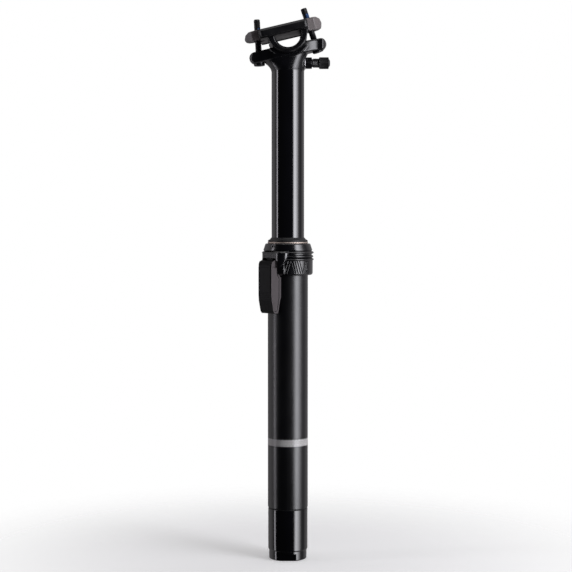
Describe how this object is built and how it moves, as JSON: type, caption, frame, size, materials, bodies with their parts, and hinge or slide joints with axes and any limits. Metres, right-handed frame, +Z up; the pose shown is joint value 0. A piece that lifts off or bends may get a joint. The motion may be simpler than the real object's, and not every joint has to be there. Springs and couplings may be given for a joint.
{
  "type": "suspension seatpost",
  "caption": "Height-adjustable suspension seatpost for a bicycle, with a tube that fits the frame, a telescopic stanchion and a saddle clamp.",
  "frame": {"origin": "centre of the flat lower end, on the tube axis", "axes": "+Z up along the tube axis; +X to the rear of the bicycle, where the air valve points; +Y to its right side"},
  "size_m": [0.0653, 0.054, 0.424],
  "materials": {
    "outer_tube_anodised": "matte black anodised",
    "cap_gloss_black": "glossy black anodised",
    "collar_satin_black": "satin black anodised",
    "stanchion_gloss_black": "polished hard anodised black, satin on the forged head",
    "lever_matte_black": "matte black",
    "clamp_satin_black": "satin black",
    "clamp_satin_grey": "satin dark grey, brushed",
    "black_steel": "black oxide, threads with blue patch",
    "valve_black": "satin black",
    "cap_plastic": "moulded black plastic",
    "rubber": "matte rubber",
    "brass_ring": "satin brass",
    "bush_plastic": "matte polymer",
    "bare_aluminium": "turned",
    "bare_steel": "ground",
    "spring_steel": "drawn wire",
    "chromed_steel": "hard chromed"
  },
  "bodies": {
    "outer": {"outer_tube": "outer_tube_anodised", "bottom_cap": "cap_gloss_black", "seam_ring": "rubber", "rod_plate": "bare_aluminium", "cartridge_rod": "chromed_steel", "rod_nut": "bare_steel", "rod_piston": "bare_aluminium", "bottom_bumper": "rubber", "rocker_pin": "bare_steel", "collar": "collar_satin_black", "collar_screw": "black_steel", "upper_bush": "bush_plastic", "wiper_seal": "rubber", "wiper_ring": "brass_ring", "lever_pin": "bare_steel", "lever_spring": "spring_steel"},
    "lever": {"release_lever": "lever_matte_black"},
    "push_rod": {"push_rod": "bare_steel"},
    "rocker": {"release_rocker": "bare_steel"},
    "release_pin": {"release_pin": "bare_steel"},
    "cartridge": {"cartridge_cylinder": "bare_aluminium", "rod_gland": "bare_aluminium", "rod_seal": "rubber", "air_piston": "bare_aluminium", "air_piston_ring": "rubber", "top_out_spacer": "bush_plastic"},
    "floating_piston": {"floating_piston": "bush_plastic", "floating_piston_ring": "rubber"},
    "stanchion": {"stanchion": "stanchion_gloss_black", "lower_bush": "bush_plastic", "guide_keys": "brass_ring", "stanchion_nut": "bare_aluminium", "top_out_bumper": "rubber", "valve_seat_ring": "bare_aluminium", "valve_seal": "rubber", "valve_body": "valve_black", "valve_core": "brass_ring", "valve_cap": "cap_plastic"},
    "valve_pin": {"valve_pin": "bare_steel"},
    "clamp": {"lower_cradle": "clamp_satin_black", "upper_clamp": "clamp_satin_grey"},
    "front_bolt": {"front_clamp_bolt": "black_steel", "front_bolt_washer": "black_steel"},
    "rear_bolt": {"rear_clamp_bolt": "black_steel", "rear_bolt_washer": "black_steel"},
    "front_nut": {"front_barrel_nut": "black_steel"},
    "rear_nut": {"rear_barrel_nut": "black_steel"}
  },
  "joints": [
    {"name": "height_adjust", "type": "slide", "parent": "outer", "child": "cartridge", "axis": [0, 0, 1], "range_m": [-0.085, 0]},
    {"name": "suspension", "type": "slide", "parent": "cartridge", "child": "stanchion", "axis": [0, 0, 1], "range_m": [-0.04, 0], "stiffness_N_per_m": 12000, "springref_m": 0.012},
    {"name": "saddle_tilt", "type": "hinge", "parent": "stanchion", "child": "clamp", "pos_m": [-0.0005, 0, 0.4032], "axis": [0, 1, 0], "range_deg": [-8, 8]},
    {"name": "lever_pull", "type": "hinge", "parent": "outer", "child": "lever", "pos_m": [-0.01216, -0.01216, 0.2352], "axis": [-0.7071, 0.7071, 0], "range_deg": [0, 12], "stiffness_Nm_per_rad": 0.08, "springref_deg": -17.19},
    {"name": "push_rod_slide", "type": "slide", "parent": "outer", "child": "push_rod", "axis": [0, 0, -1], "range_m": [0, 0.000869]},
    {"name": "rocker_turn", "type": "hinge", "parent": "outer", "child": "rocker", "pos_m": [-0.00656, -0.00656, 0.02], "axis": [0.7071, -0.7071, 0], "range_deg": [0, 13.09]},
    {"name": "release_pin_lift", "type": "slide", "parent": "outer", "child": "release_pin", "axis": [0, 0, 1], "range_m": [0, 0.00259]},
    {"name": "floating_piston_slide", "type": "slide", "parent": "cartridge", "child": "floating_piston", "axis": [0, 0, 1], "range_m": [0, 0.02613]},
    {"name": "valve_pin_press", "type": "slide", "parent": "stanchion", "child": "valve_pin", "axis": [-1, 0, 0], "range_m": [0, 0.0012], "stiffness_N_per_m": 300, "springref_m": -0.003},
    {"name": "front_bolt_lean", "type": "hinge", "parent": "stanchion", "child": "front_bolt", "pos_m": [-0.02193, 0, 0.3833], "axis": [0, 1, 0], "range_deg": [-0.2856, 0.2856]},
    {"name": "rear_bolt_lean", "type": "hinge", "parent": "stanchion", "child": "rear_bolt", "pos_m": [0.02221, 0, 0.39345], "axis": [0, 1, 0], "range_deg": [-0.74, 0.74]},
    {"name": "front_nut_turn", "type": "hinge", "parent": "clamp", "child": "front_nut", "pos_m": [-0.02307, 0, 0.40253], "axis": [0, 1, 0], "range_deg": [-7.87, 7.87]},
    {"name": "rear_nut_turn", "type": "hinge", "parent": "clamp", "child": "rear_nut", "pos_m": [0.0162, 0, 0.41076], "axis": [0, 1, 0], "range_deg": [-7.42, 7.42]}
  ],
  "couplings": [
    {"joint": "push_rod_slide", "follows": "lever_pull", "m_per_rad": 0.0041062},
    {"joint": "rocker_turn", "follows": "lever_pull", "ratio": 1.08},
    {"joint": "release_pin_lift", "follows": "lever_pull", "m_per_rad": 0.012223},
    {"joint": "floating_piston_slide", "follows": "height_adjust", "ratio": -0.3044},
    {"joint": "front_bolt_lean", "follows": "saddle_tilt", "ratio": 0.035},
    {"joint": "rear_bolt_lean", "follows": "saddle_tilt", "ratio": 0.091},
    {"joint": "front_nut_turn", "follows": "saddle_tilt", "ratio": -0.965},
    {"joint": "rear_nut_turn", "follows": "saddle_tilt", "ratio": -0.909}
  ]
}
